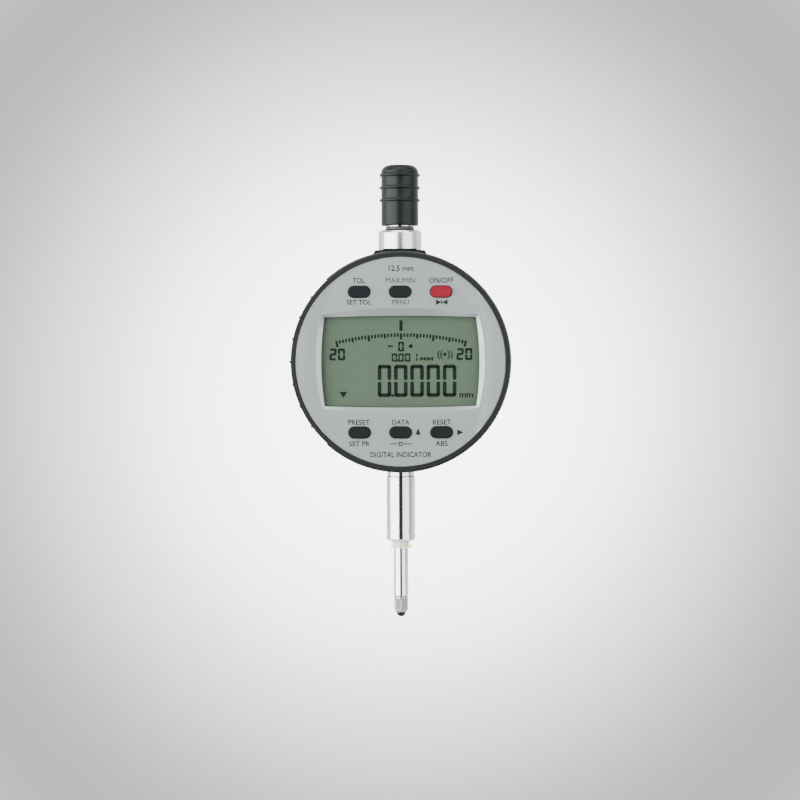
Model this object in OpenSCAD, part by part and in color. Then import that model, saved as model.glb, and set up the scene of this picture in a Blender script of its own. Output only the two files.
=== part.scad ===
// Digital dial indicator: a round swivelling display head, a clamping stem, a sprung spindle with a
// ball-ended contact point, and a rubber lifting cap.
// Z is the spindle axis, with the lifting cap up, and the display faces -Y. The origin is the middle
// of the stem's clamping length, on the spindle axis. The "head" is centred head_z above it.

/* [Head] */
// Outer diameter of the display case
head_d = 60.4; // [60:0.1:74]
// Width of the black rim round the face
rim_w = 1.7; // [1.2:0.1:2.6]
// How far the rim stands in front of the face
rim_lip = 0.3; // [0.1:0.1:0.8]
// How much smaller in radius the rear housing is than the display case
housing_setback = 1.2; // [0.5:0.1:2.5]
// Wall of the rear housing
housing_wall = 2; // [1.6:0.1:3]
// Thickness of the housing's front wall, which carries the swivel
swivel_wall = 2.2; // [2:0.1:3.5]
// Thickness of the back cover
cover_t = 1.6; // [1.3:0.1:3]
// Room behind the spindle axis for the measuring system
back_room = 7.9; // [7.4:0.1:12]

/* [Face plate] */
// Thickness of the silver face plate
plate_t = 1.2; // [0.9:0.1:2]
// Depth of the bevelled frame round the window
frame_sink = 0.5; // [0.2:0.1:0.7]
// Width of the bevelled frame round the window
frame_w = 1.6; // [0.6:0.1:1.8]
// How far the middle band of the face lies below its two side wings
band_sink = 0.15; // [0.05:0.05:0.3]

/* [Window] */
// Half width of the window at its corners
window_x = 20.65; // [17:0.05:21]
// Half height of the window at its corners
window_z = 12.1; // [10:0.05:12.4]
// How far the window's sides bow out
bow_x = 0.9; // [0.3:0.1:1]
// How far the window's top and bottom bow out
bow_z = 0.4; // [0.2:0.1:0.6]
// Thickness of the window pane
pane_t = 0.9; // [0.6:0.1:1.4]
// Thickness of the liquid-crystal panel
lcd_t = 1.4; // [1:0.1:2]

/* [Keys] */
// Length of a key
key_l = 5.85; // [4.5:0.05:7.6]
// Height of a key
key_h = 3; // [2.4:0.05:4]
// Distance between neighbouring keys in a row
key_pitch = 11.15; // [9.5:0.05:11.6]
// Height of the upper row above the head's centre
key_up = 19; // [18.6:0.05:19.8]
// Distance of the lower row below the head's centre
key_down = 19.25; // [18.6:0.05:19.8]
// How far a key stands in front of the face
key_proud = 0.6; // [0.4:0.1:1.2]
// How far a key can be pressed
key_travel = 0.4; // [0.2:0.05:0.6]

/* [Battery drawer] */
// Diameter of the coin cell
cell_d = 20; // [16:0.5:24]
// Thickness of the coin cell
cell_t = 3.2; // [1.6:0.1:5]
// Half height of the drawer's curved grip
grip_z = 20.4; // [16:0.1:21]
// Height of the ribs on the grip
rib_h = 0.35; // [0.2:0.05:0.6]
// Angle between neighbouring ribs
rib_pitch = 12; // [8:1:13]

/* [Stem] */
// Diameter of the clamping stem
stem_d = 8; // [7.2:0.1:10]
// Length of the stem between its groove and its neck, where it is clamped
clamp_len = 14.9; // [10:0.1:30]
// Length of the stem below the groove
stem_tail = 2.4; // [1.5:0.1:6]
// Width of the groove near the stem's end
groove_w = 0.5; // [0.5:0.1:1]
// Depth of that groove
stem_groove = 0.2; // [0.2:0.05:0.4]
// Length of the narrower neck outside the housing
neck_len = 3.2; // [1.5:0.1:8]
// Wall of the guide bushes
bush_wall = 0.75; // [0.6:0.05:1]

/* [Spindle] */
// Diameter of the measuring spindle
spindle_d = 4; // [3.4:0.1:4.8]
// Measuring travel
travel = 12.5; // [5:0.5:13]
// Spindle left below the seal when it is fully in
spare_len = 1; // [0.5:0.1:5]
// Length of the knurled contact point without its ball
tip_len = 4.4; // [3.5:0.1:12]
// Diameter of the ball
ball_d = 2.6; // [1.5:0.1:3]
// Diameter of the contact point's thread
tip_thread_d = 2.5; // [2:0.1:2.6]

/* [Lifting cap] */
// Diameter of the top sleeve
sleeve_d = 12; // [11:0.1:14]
// Height of the top sleeve above its boss
sleeve_h = 5.5; // [3:0.1:12]
// How far the boss under the sleeve stands above the display case
boss_rise = 1.1; // [0.6:0.1:4]
// Diameter of the lifting cap
cap_d = 10.5; // [9.6:0.1:13]
// Height of the lifting cap
cap_h = 17; // [13:0.1:25]
// How far the cap's grip rings stand out
cap_ring = 0.45; // [0.2:0.05:0.8]

/* [Measuring system] */
// Distance of the guide rod from the spindle
rod_x = 12; // [10.5:0.1:13]
// Diameter of the guide rod
rod_d = 3; // [2:0.1:3.6]
// Height of the carrier that joins the spindle to the guide rod
carrier_h = 10; // [7:0.5:10]
// Length of the measuring scale
scale_len = 26; // [20:1:28]
// Wire diameter of the measuring spring
wire_d = 0.5; // [0.3:0.05:0.6]
// Number of turns in the measuring spring
spring_turns = 9; // [6:1:11]

/* [Fits] */
// Radial clearance of a sliding or turning fit
run_gap = 0.04; // [0.02:0.01:0.1]
// Clearance between pieces that are fixed together
fit_gap = 0.02; // [0.01:0.01:0.05]
// Clearance round a key in the face plate
key_gap = 0.15; // [0.1:0.05:0.3]
// Gap between the swivelling head and the housing
swivel_gap = 0.3; // [0.2:0.05:0.6]
// How far the display swivels each way
swivel_angle = 135; // [30:5:150]

/* [Hidden] */
$fn = 96;
cut = 1;
head_r = head_d / 2;
housing_r = head_r - housing_setback;
cavity_r = housing_r - housing_wall;
plate_r = head_r - rim_w;
ledge_r = plate_r - 1.1;
stem_r = stem_d / 2;
neck_r = stem_r - 0.25;
spindle_r = spindle_d / 2;
bush_r = spindle_r + bush_wall;
rod_r = rod_d / 2;
cell_r = cell_d / 2;

// Depths along Y, worked out from the spindle axis towards the face
spring_r = spindle_r + 1.2;
hub_end_y = -spring_r - wire_d / 2 - 0.75;
clip_t = 0.6;
clip_y = hub_end_y - 0.25 - clip_t;
collar_r = neck_r + 1.3;
wall_in_y = min(clip_y, -collar_r) - 0.15;
wall_out_y = wall_in_y - swivel_wall;
case_back_y = wall_out_y - swivel_gap;
case_floor = 1.4;
case_in_y = case_back_y - case_floor;
tray_y = case_in_y - 0.1;
tray_t = cell_t + 0.3;
board_y = tray_y - tray_t - 0.3;
board_t = 0.8;
board_front_y = board_y - board_t;
lcd_y = board_front_y - 0.45 - lcd_t;
pane_y = lcd_y - 0.05 - pane_t;
plate_in_y = pane_y - 0.1;
face_y = plate_in_y - plate_t;
rim_y = face_y - rim_lip;
back_y = back_room + cover_t;
groove_depth = swivel_wall - 0.9;

// Heights along Z
head_z = clamp_len / 2 + neck_len + housing_r;
clamp_top = clamp_len / 2;
groove_top = -clamp_len / 2;
stem_end = groove_top - groove_w - stem_tail;
seal_out = 2.1;
spindle_end = stem_end - seal_out - travel - spare_len;
tip_end = spindle_end - tip_len;
boss_top = head_r + boss_rise;
shank_z = boss_top - 6.9;
socket_h = 4.5;
socket_z = socket_h - housing_r;
socket_back_y = neck_r + 3.4;
boss_back_y = min(sleeve_d / 2 + 1.2, back_room);
collar_t = 1.2;
tail_chamfer = 0.5;
buffer_h = 0.7;
sleeve_top = head_z + boss_top + sleeve_h;
core_z = sleeve_top + buffer_h + 0.05;
cap_z = sleeve_top + 1.15;
core_r = 4;
core_top_r = 3.2;
core_neck_h = 6;
core_h = cap_h - 3;
spindle_top = cap_z + core_h - 2.5;
shank_r = bush_r + 1.75;

// Screws, each with the hole that its thread cuts and the hole that it passes through
small_screw_r = 0.72;
small_head_r = 1.4;
small_hole_r = small_screw_r + 0.03;
small_pass_r = 0.9;
cover_screw_r = 0.83;
cover_hole_r = cover_screw_r + 0.02;
cover_pass_r = 1.1;
cover_head_r = 1.95;
cover_sink = 1.05;
set_screw_r = 1;

// Swivel
hub_r = 14;
hub_bore_r = 11.5;
clip_r = 16;
oring_r = 17;
oring_w = 0.7;
peg_at = 21;
peg_r = 1.2;

// Display
lcd_half = [window_x + 1.5, window_z + 1];
frame_wall = 0.9;
frame_half = [lcd_half[0] + frame_wall + 0.05, lcd_half[1] + frame_wall + 0.05];
board_r = ledge_r - 0.5;
pillar_at = [for (a = [44, 136, 224, 316]) (board_r - 1.9) * [cos(a), sin(a)]];
plunger_r = 1.2;
switch_w = 4.2;
switch_top_y = board_front_y - 1.5;
flange_t = 0.5;
flange_w = 0.7;
wing_x = 23.5;
wing_bow = 3;
wing_z = 19.5;
key_at = [for (row = [key_up, -key_down]) for (i = [-1, 0, 1]) [i * key_pitch, row]];

// Battery drawer
recess_angle = asin(grip_z / head_r) + 5.5;
rib_count = floor(asin((grip_z - 1) / head_r) / rib_pitch);
cell_x = -(head_r - 4.6 - cell_r);
tray_z = cell_r + 2;
tray_end = cell_x + cell_r + 1.5;
opening_gap = 0.2;
grip_r = head_r - rib_h;
grip_t = 1.65;
grip_y0 = case_in_y - 0.25;
grip_y1 = plate_in_y + 0.85;

// Measuring system
carrier_z = -9;
carrier_top = carrier_z + carrier_h;
carrier_front = hub_end_y + 1;
carrier_back = spring_r + wire_d / 2 + 0.35;
carrier_side = 5;
scale_t = 0.8;
scale_w = 7;
scale_z = carrier_z - 8;
reader_y = carrier_back + scale_t + 0.4;
reader_t = 0.8;
post_at = [[17, 8], [17, -8]];
lug_z = 16;
lug_t = 4;
spring_z0 = carrier_top + wire_d / 2 + 0.05;
spring_z1 = shank_z - wire_d / 2 - 0.05;
screw_at = [for (a = [45, 135, 225, 315]) (cavity_r - 2) * [cos(a), sin(a)]];

// Moves its children to the head's centre
module at_head() translate([0, 0, head_z]) children();

// A flat outline in the head's X and Z, from y0 backwards by t
module slab(y0, t) at_head() translate([0, y0 + t, 0]) rotate([90, 0, 0])
    linear_extrude(height = t) children();

// A profile of [radius, y] turned about the swivel axis
module turned_y() at_head() rotate([-90, 0, 0]) rotate_extrude() children();

// A tube along Z
module tube(z0, z1, r_out, r_in) translate([0, 0, z0]) difference() {
    cylinder(r = r_out, h = z1 - z0);
    translate([0, 0, -cut]) cylinder(r = r_in, h = z1 - z0 + 2 * cut);
}

// A box by its two corners, in head coordinates
module head_box(low, high) at_head() translate(low) cube(high - low);

module ring(r_out, r_in) difference() {
    circle(r_out);
    circle(r_in);
}

// The outline of a key: a bar with round ends
module stadium(l, h) union() {
    square([l - h, h], center = true);
    for (s = [-1, 1]) translate([s * (l - h) / 2, 0]) circle(d = h);
}

// The radius of an arc that bows out by bow over a side of length 2 * half
function bow_radius(half, bow) = (bow * bow + half * half) / (2 * bow);
// The window: four arcs that cross at its corners, each moved out by more
module window_outline(more) intersection() {
    rx = bow_radius(window_z, bow_x);
    rz = bow_radius(window_x, bow_z);
    translate([window_x + bow_x + more - rx, 0]) circle(rx, $fn = 360);
    translate([rx - window_x - bow_x - more, 0]) circle(rx, $fn = 360);
    translate([0, window_z + bow_z + more - rz]) circle(rz, $fn = 720);
    translate([0, rz - window_z - bow_z - more]) circle(rz, $fn = 720);
}

// The middle band of the face, between the two side wings
module band_outline() intersection() {
    rw = bow_radius(wing_z, wing_bow);
    circle(plate_r + cut);
    translate([wing_x - rw, 0]) circle(rw, $fn = 360);
    translate([rw - wing_x, 0]) circle(rw, $fn = 360);
}

// ---- Rear housing ----

// Half of the boss's outline, from the middle of its top down to its foot
boss_half = [[4.4, boss_top], [4.75, boss_top - 0.4], [6.9, boss_top - 0.45],
             [7.9, boss_top - 2.3], [7.9, shank_z]];
module boss_outline() polygon(concat(boss_half, [for (i = [4:-1:0]) [-boss_half[i][0], boss_half[i][1]]]));

module housing_solid() {
    difference() {
        slab(wall_out_y, back_room - wall_out_y) circle(housing_r);
        slab(wall_in_y, back_room - wall_in_y + cut) circle(cavity_r);
    }
    slab(wall_out_y + 0.4, boss_back_y - wall_out_y - 0.4) boss_outline();
    slab(wall_in_y - 0.1, socket_back_y - wall_in_y) intersection() {
        circle(housing_r - 0.1);
        translate([-7, -housing_r]) square([14, socket_z + housing_r]);
    }
    for (z = [lug_z, -lug_z - lug_t])
        head_box([-rod_x - 3.2, wall_in_y - 0.1, z], [3.2 - rod_x, 2.6, z + lug_t]);
    for (p = post_at) slab(wall_in_y - 0.1, reader_y - wall_in_y + 0.1) translate(p) circle(1.8);
    slab(wall_in_y - 0.1, back_room - wall_in_y + 0.1) intersection() {
        circle(cavity_r + 0.5);
        for (p = screw_at) translate(p) circle(2.4);
    }
}

module peg_track() difference() {
    stop_half = 180 - swivel_angle - asin((peg_r + run_gap) / peg_at);
    ring(peg_at + peg_r + run_gap, peg_at - peg_r - run_gap);
    polygon([[0, 0], for (a = [-stop_half, 0, stop_half]) 2 * peg_at * [sin(a), -cos(a)]]);
}

module housing() color("#1a1e1f") difference() {
    housing_solid();
    slab(wall_out_y - cut, swivel_wall + 2 * cut) circle(hub_r + run_gap);
    slab(wall_out_y - cut, groove_depth + cut) peg_track();
    slab(wall_out_y - cut, groove_depth + cut) ring(oring_r + 0.75, oring_r - 0.75);
    slab(back_room - 0.6, 0.6 + cut) ring(housing_r - 0.6, cavity_r + 0.4);
    at_head() translate([0, 0, shank_z - cut]) cylinder(r = shank_r + fit_gap, h = boss_top + cut);
    at_head() translate([0, 0, -housing_r - cut]) cylinder(r = neck_r + fit_gap, h = socket_h + 2 * cut);
    at_head() translate([-rod_x, 0, -lug_z - lug_t - cut])
        cylinder(r = rod_r + fit_gap, h = 2 * (lug_z + lug_t + cut));
    for (p = post_at) slab(reader_y - 5, 5 + cut) translate(p) circle(small_hole_r);
    for (p = screw_at) slab(back_room - 7, 7 + cut) translate(p) circle(cover_hole_r);
}

module back_cover() color("#1a1e1f") difference() {
    turned_y() polygon([
        [0, back_room], [housing_r, back_room], [housing_r, back_y - 0.6], [housing_r - 0.6, back_y],
        [0, back_y]]);
    for (p = screw_at) {
        slab(back_room - cut, cover_t + 2 * cut) translate(p) circle(cover_pass_r);
        at_head() translate([p[0], back_y - cover_sink, p[1]]) rotate([-90, 0, 0])
            cylinder(r1 = cover_pass_r, r2 = cover_head_r + 0.2, h = cover_sink + 0.01);
    }
}

module cover_gasket() color("#2b2b2b")
    slab(back_room - 0.58, 0.56) ring(housing_r - 0.62, cavity_r + 0.42);

module cover_screws() color("silver") for (p = screw_at)
    at_head() translate([p[0], 0, p[1]]) rotate([-90, 0, 0]) difference() {
        rotate_extrude() polygon([
            [0, back_room - 4.5], [cover_screw_r, back_room - 4.5],
            [cover_screw_r, back_y - cover_sink], [cover_pass_r - 0.05, back_y - cover_sink],
            [cover_head_r, back_y - 0.12], [0, back_y - 0.12]]);
        for (a = [0, 90]) rotate([0, 0, a])
            translate([-0.9, -0.15, back_y - 0.8]) cube([1.8, 0.3, 1]);
    }

// ---- Stem and top sleeve ----

module stem() color("silver") rotate_extrude() polygon([
    [bush_r, stem_end], [stem_r - tail_chamfer, stem_end], [stem_r, stem_end + tail_chamfer],
    [stem_r, groove_top - groove_w], [stem_r - stem_groove, groove_top - groove_w],
    [stem_r - stem_groove, groove_top], [stem_r, groove_top], [stem_r, clamp_top],
    [neck_r, clamp_top + 0.25], [neck_r, head_z + socket_z], [collar_r, head_z + socket_z],
    [collar_r, head_z + socket_z + collar_t], [bush_r, head_z + socket_z + collar_t]]);

module bush(z0, z1) color("#b08d4a") tube(z0, z1, bush_r - fit_gap, spindle_r + run_gap);
module stem_lower_bush() bush(stem_end + 1.6, stem_end + 9);
module stem_upper_bush() bush(head_z + socket_z + collar_t - 7, head_z + socket_z + collar_t);

module stem_seal() color("#e8e0a8") rotate_extrude() polygon([
    [spindle_r + run_gap, stem_end - seal_out], [bush_r + 0.35, stem_end - seal_out],
    [bush_r + 0.35, stem_end - seal_out + 0.6], [bush_r - 0.25, stem_end - seal_out + 0.6],
    [bush_r - 0.25, stem_end - fit_gap], [bush_r - fit_gap, stem_end - fit_gap],
    [bush_r - fit_gap, stem_end + 1.55], [spindle_r + run_gap, stem_end + 1.55]]);

module top_sleeve() color("silver") rotate_extrude() polygon([
    [bush_r, head_z + shank_z], [shank_r, head_z + shank_z],
    [shank_r, head_z + boss_top], [sleeve_d / 2, head_z + boss_top],
    [sleeve_d / 2, sleeve_top - 0.9], [sleeve_d / 2 - 0.3, sleeve_top - 0.4],
    [sleeve_d / 2 - 0.9, sleeve_top], [bush_r, sleeve_top]]);

module sleeve_bush() bush(sleeve_top - 9, sleeve_top - 0.2);

module buffer_ring() color("#4a4d4d") rotate_extrude() polygon([
    [spindle_r + 0.4, sleeve_top], [core_r - 0.1, sleeve_top], [core_r + 0.05, sleeve_top + 0.2],
    [core_r + 0.05, sleeve_top + buffer_h - 0.2], [core_r - 0.1, sleeve_top + buffer_h],
    [spindle_r + 0.4, sleeve_top + buffer_h]]);

// ---- Fixed side of the measuring system ----

module guide_rod() color("silver") at_head() translate([-rod_x, 0, -lug_z - lug_t])
    cylinder(r = rod_r, h = 2 * (lug_z + lug_t));

module reader_board() color("#1f5c3a") difference() {
    head_box([-4, reader_y, -10], [20, reader_y + reader_t, 10]);
    for (p = post_at) slab(reader_y - cut, reader_t + 2 * cut) translate(p) circle(small_pass_r);
}

module reader_chips() color("#222222") {
    y0 = reader_y + reader_t + fit_gap;
    head_box([-2.5, y0, -3], [3.5, y0 + 0.8, 3]);
    head_box([6, y0, -4.5], [12, y0 + 0.6, 1.5]);
    head_box([7, y0, 4], [11, y0 + 0.7, 7]);
}

module reader_screws() color("silver") for (p = post_at) {
    slab(reader_y - 3.5, reader_t + 3.6) translate(p) circle(small_screw_r);
    slab(reader_y + reader_t + fit_gap, 0.7) translate(p) circle(small_head_r);
}

// The spring's wire follows a helix. Each ring of points is a small polygon turned to face along it
function helix_at(t) = [
    spring_r * cos(360 * spring_turns * t), spring_r * sin(360 * spring_turns * t),
    spring_z0 + (spring_z1 - spring_z0) * t];
wire_sides = 6;
wire_steps = spring_turns * 16;
wire_points = [for (i = [0:wire_steps]) let (t = i / wire_steps, a = 360 * spring_turns * t)
    for (k = [0:wire_sides - 1]) let (b = 360 * k / wire_sides)
        helix_at(t) + wire_d / 2 * [cos(b) * cos(a), cos(b) * sin(a), sin(b)]];
wire_walls = [for (i = [0:wire_steps - 1]) for (k = [0:wire_sides - 1])
    let (n = (k + 1) % wire_sides, p = i * wire_sides)
        [p + k, p + wire_sides + k, p + wire_sides + n, p + n]];
module measuring_spring() color("gray") at_head() polyhedron(
    points = wire_points,
    faces = concat(wire_walls, [[for (k = [0:wire_sides - 1]) k]],
        [[for (k = [wire_sides - 1:-1:0]) wire_steps * wire_sides + k]]));

module swivel_o_ring() color("#202020") turned_y()
    translate([oring_r, wall_out_y + groove_depth - oring_w - 0.03]) circle(oring_w, $fn = 32);

// ---- Spindle and what moves with it ----

module spindle() color("gainsboro") difference() {
    rotate_extrude() polygon([
        [0, spindle_end], [spindle_r - 0.2, spindle_end], [spindle_r, spindle_end + 0.2],
        [spindle_r, spindle_top - 0.3], [spindle_r - 0.3, spindle_top], [0, spindle_top]]);
    translate([0, 0, spindle_end - cut]) cylinder(r = tip_thread_d / 2, h = 6 + cut);
}

knurl_teeth = 30;
knurl_outline = [for (i = [0:2 * knurl_teeth - 1])
    (spindle_r - 0.03 - (i % 2) * 0.13) * [cos(180 * i / knurl_teeth), sin(180 * i / knurl_teeth)]];
module contact_point() color("silver") difference() {
    union() {
        translate([0, 0, spindle_end - 0.6]) cylinder(r1 = spindle_r - 0.03, r2 = spindle_r - 0.35, h = 0.6);
        translate([0, 0, tip_end + 0.7]) linear_extrude(height = tip_len - 1.3) polygon(knurl_outline);
        translate([0, 0, tip_end]) cylinder(r1 = spindle_r - 0.55, r2 = spindle_r - 0.16, h = 0.7);
        translate([0, 0, spindle_end - 0.6]) cylinder(r = tip_thread_d / 2 - fit_gap, h = 5.6);
    }
    translate([0, 0, tip_end - 0.1]) sphere(d = ball_d + 2 * fit_gap);
}

module contact_ball() color("#3a3a3a") translate([0, 0, tip_end - 0.1]) sphere(d = ball_d);

module cap_core() color("silver") rotate_extrude() polygon([
    [spindle_r + fit_gap, core_z], [core_r - 0.2, core_z], [core_r, core_z + 0.2],
    [core_r, cap_z + core_neck_h], [core_top_r, cap_z + core_neck_h + 0.4],
    [core_top_r, cap_z + core_h],
    [0, cap_z + core_h], [0, spindle_top + fit_gap], [spindle_r + fit_gap, spindle_top + fit_gap]]);

// One grip ring's outline, from its lower edge to its upper edge
function grip_ring(z) = [
    [cap_d / 2, cap_z + z - 0.45], [cap_d / 2 + cap_ring, cap_z + z - 0.2],
    [cap_d / 2 + cap_ring, cap_z + z + 0.2], [cap_d / 2, cap_z + z + 0.45]];
dome_r = 2;
ring_heights = [for (k = [0:2]) cap_h - 9.85 + 3.5 * k];
module lifting_cap() color("#2b3233") rotate_extrude() polygon(concat(
    [[core_r + fit_gap, cap_z], [cap_d / 2 - 0.4, cap_z], [cap_d / 2, cap_z + 0.4]],
    [for (z = ring_heights) each grip_ring(z)],
    [for (a = [0:15:90]) [cap_d / 2 - dome_r + dome_r * cos(a), cap_z + cap_h - dome_r + dome_r * sin(a)]],
    [[0, cap_z + cap_h], [0, cap_z + core_h + fit_gap],
     [core_top_r + fit_gap, cap_z + core_h + fit_gap],
     [core_top_r + fit_gap, cap_z + core_neck_h + 0.4 + fit_gap],
     [core_r + fit_gap, cap_z + core_neck_h + fit_gap]]));

module carrier() color("#8a8f92") difference() {
    union() {
        head_box([-carrier_side, carrier_front, carrier_z], [carrier_side, carrier_back, carrier_top]);
        head_box([-rod_x - 3, carrier_front, carrier_z + 1.5], [-carrier_side + 1, 2.8, carrier_top - 1.5]);
    }
    at_head() translate([0, 0, carrier_z - cut])
        cylinder(r = spindle_r + fit_gap, h = carrier_h + 2 * cut);
    at_head() translate([-rod_x, 0, carrier_z - cut]) cylinder(r = rod_r + run_gap, h = carrier_h + 2 * cut);
    at_head() translate([0, 0, carrier_z + carrier_h / 2]) rotate([0, 90, 0])
        cylinder(r = set_screw_r + fit_gap, h = carrier_side + cut);
}

module carrier_screw() color("#555555") at_head()
    translate([spindle_r + 0.05, 0, carrier_z + carrier_h / 2]) rotate([0, 90, 0]) difference() {
        cylinder(r = set_screw_r, h = carrier_side - spindle_r - 0.2);
        translate([0, 0, carrier_side - spindle_r - 1.2]) cylinder(r = 0.45, h = 2, $fn = 6);
    }

module scale_bar() color("#b9c4cc") head_box(
    [-scale_w / 2, carrier_back + fit_gap, scale_z],
    [scale_w / 2, carrier_back + scale_t, scale_z + scale_len]);

// ---- Display head ----

module case_body() turned_y() polygon([
    [hub_bore_r, case_in_y], [hub_bore_r, hub_end_y], [hub_r - 0.3, hub_end_y],
    [hub_r, hub_end_y - 0.3], [hub_r, case_back_y], [head_r - 0.8, case_back_y],
    [head_r, case_back_y - 0.8], [head_r, rim_y + 0.5], [head_r - 0.15, rim_y + 0.15],
    [head_r - 0.5, rim_y], [plate_r + 0.2, rim_y], [plate_r, rim_y + 0.2],
    [plate_r, plate_in_y], [ledge_r, plate_in_y], [ledge_r, case_in_y]]);

// The left part of the rim, where the drawer's grip shows
module grip_recess() intersection() {
    ring(head_r + cut, head_r - rib_h);
    polygon([[0, 0], for (a = [-recess_angle, 0, recess_angle]) 2 * head_r * [-cos(a), sin(a)]]);
}

module display_case() color("#1d2223") difference() {
    union() {
        case_body();
        for (p = pillar_at) slab(board_y + fit_gap, case_in_y - board_y + 0.1) translate(p) circle(2.1);
    }
    slab(rim_y - cut, case_back_y - rim_y + 2 * cut) grip_recess();
    slab(grip_y1 - opening_gap, grip_y0 - grip_y1 + 2 * opening_gap) intersection() {
        ring(head_r + cut, ledge_r - 0.2);
        translate([-head_r - cut, -grip_z - opening_gap]) square([head_r, 2 * (grip_z + opening_gap)]);
    }
    slab(clip_y - 0.05, clip_t + 0.1) ring(hub_r + cut, hub_r - 0.8);
    slab(case_in_y - cut, case_floor + 2 * cut) translate([0, peg_at]) circle(peg_r + fit_gap);
    for (p = pillar_at) slab(board_y - cut, 3.5 + cut) translate(p) circle(small_hole_r);
}

module face_plate() color("#b4bab8") difference() {
    slab(face_y, plate_t) circle(plate_r - fit_gap);
    slab(face_y - cut, cut + band_sink) band_outline();
    slab(face_y - cut, cut + band_sink + frame_sink) window_outline(frame_w);
    slab(face_y - cut, plate_t + 2 * cut) window_outline(0);
    for (p = key_at) slab(face_y - cut, plate_t + 2 * cut) translate(p)
        stadium(key_l + 2 * key_gap, key_h + 2 * key_gap);
}

module window_pane() color([0.8, 0.9, 0.85, 0.4]) slab(pane_y, pane_t) window_outline(0.9);

module lcd_panel() color("#7f9384") slab(lcd_y, lcd_t) square(2 * lcd_half, center = true);

module lcd_reflector() color("#d8dcd8") slab(lcd_y + lcd_t + fit_gap, 0.25)
    square(2 * [lcd_half[0] - 0.5, lcd_half[1] - 1.8], center = true);

module lcd_frame() color("#e6e6e0") slab(lcd_y, board_front_y - lcd_y - fit_gap) difference() {
    square(2 * frame_half, center = true);
    square(2 * (lcd_half + [fit_gap, fit_gap]), center = true);
}

module contact_strips() color("#6d5b7b") for (s = [-1, 1])
    slab(lcd_y + lcd_t + fit_gap, board_front_y - lcd_y - lcd_t - 2 * fit_gap)
        translate([0, s * (lcd_half[1] - 0.8)]) square([36, 1.2], center = true);

module main_board() color("#1f5c3a") difference() {
    slab(board_front_y, board_t) circle(board_r);
    for (p = pillar_at) slab(board_front_y - cut, board_t + 2 * cut) translate(p) circle(small_pass_r);
}

module board_parts() color("#222222") {
    y0 = board_y + fit_gap;
    head_box([3, y0, -3], [7, y0 + 1.4, 3]);
    head_box([10, y0, -5], [18, y0 + 1, 3]);
    head_box([8, y0, -14], [13, y0 + 0.9, -9]);
    head_box([4, y0, -20], [7, y0 + 0.8, -17]);
}

module radio_module() color("#c9c9c4") head_box([5, board_y + fit_gap, 8], [14, board_y + 1.6, 20]);

module key_switches() color("#303030") for (p = key_at)
    slab(switch_top_y, board_front_y - switch_top_y - fit_gap)
        translate(p) square([switch_w, switch_w - 0.6], center = true);

module battery_contacts() color("#c8b070") {
    head_box([cell_x - 4, board_y + fit_gap, -2], [cell_x + 4, board_y + 0.15, 2]);
    head_box([tray_end + 0.4, board_y + fit_gap, -2], [tray_end + 0.7, tray_y - 0.3, 2]);
}

module board_screws() color("silver") for (p = pillar_at) {
    slab(board_front_y - 0.1, board_t + 3) translate(p) circle(small_screw_r);
    slab(board_front_y - fit_gap - 0.6, 0.6) translate(p) circle(small_head_r);
}

module swivel_clip() color("#777777") slab(clip_y, clip_t) difference() {
    ring(clip_r, hub_r - 0.75);
    polygon([[0, 0], for (a = [-20, 0, 20]) 2 * clip_r * [sin(a), -cos(a)]]);
}

module stop_peg() color("silver")
    slab(case_in_y + 0.1, wall_out_y + groove_depth - 0.2 - case_in_y - 0.1)
        translate([0, peg_at]) circle(peg_r);

// Flat flexible lead, wound as a spiral inside the hub so that the head can turn
function spiral(a, r_more) = (4.2 + 5.8 * a / 720 + r_more) * [cos(a), sin(a)];
flex_t = 0.2;
module flex_lead() color("#b5651d") {
    slab(case_back_y - 1, 3) polygon(concat(
        [for (a = [0:15:720]) spiral(a, 0)], [for (a = [720:-15:0]) spiral(a, flex_t)]));
    head_box([4.2, board_y + 1.45, -1.5], [4.2 + flex_t, case_back_y - 0.5, 1.5]);
}

// ---- Keys ----

module key(i) {
    plunger_end = switch_top_y - key_travel - 0.05;
    slab(face_y - key_proud, plate_in_y + 0.1 - face_y + key_proud) translate(key_at[i])
        stadium(key_l, key_h);
    slab(plate_in_y + 0.1, flange_t) translate(key_at[i])
        stadium(key_l + 2 * flange_w, key_h + 2 * flange_w);
    slab(plate_in_y + 0.1, plunger_end - plate_in_y - 0.1) translate(key_at[i]) circle(plunger_r);
}
module key_tol() color("#2a3032") key(0);
module key_max_min() color("#2a3032") key(1);
module key_on_off() color("#d0404f") key(2);
module key_preset() color("#2a3032") key(3);
module key_data() color("#2a3032") key(4);
module key_reset() color("#2a3032") key(5);

// ---- Battery drawer ----

module rib(a) rotate([0, 0, 180 + a])
    polygon([[grip_r - 0.1, -0.6], [head_r - 0.1, -0.35], [head_r, -0.2],
             [head_r, 0.2], [head_r - 0.1, 0.35], [grip_r - 0.1, 0.6]]);

module battery_drawer() color("#23292a") difference() {
    union() {
        slab(grip_y1, grip_y0 - grip_y1) intersection() {
            ring(grip_r, grip_r - grip_t);
            translate([-head_r - cut, -grip_z]) square([head_r / 2 + cut, 2 * grip_z]);
        }
        slab(grip_y1, grip_y0 - grip_y1) for (k = [-rib_count:rib_count])
            rib(k * rib_pitch);
        slab(tray_y - tray_t, tray_t) intersection() {
            circle(grip_r - grip_t + 0.1);
            translate([-head_r, -tray_z]) square([head_r + tray_end, 2 * tray_z]);
        }
    }
    slab(tray_y - tray_t - cut, cell_t + 0.1 + cut) translate([cell_x, 0]) circle(cell_r + 0.1);
    slab(tray_y - tray_t - cut, tray_t + 2 * cut) translate([cell_x, 0]) circle(cell_r - 1.2);
}

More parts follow.
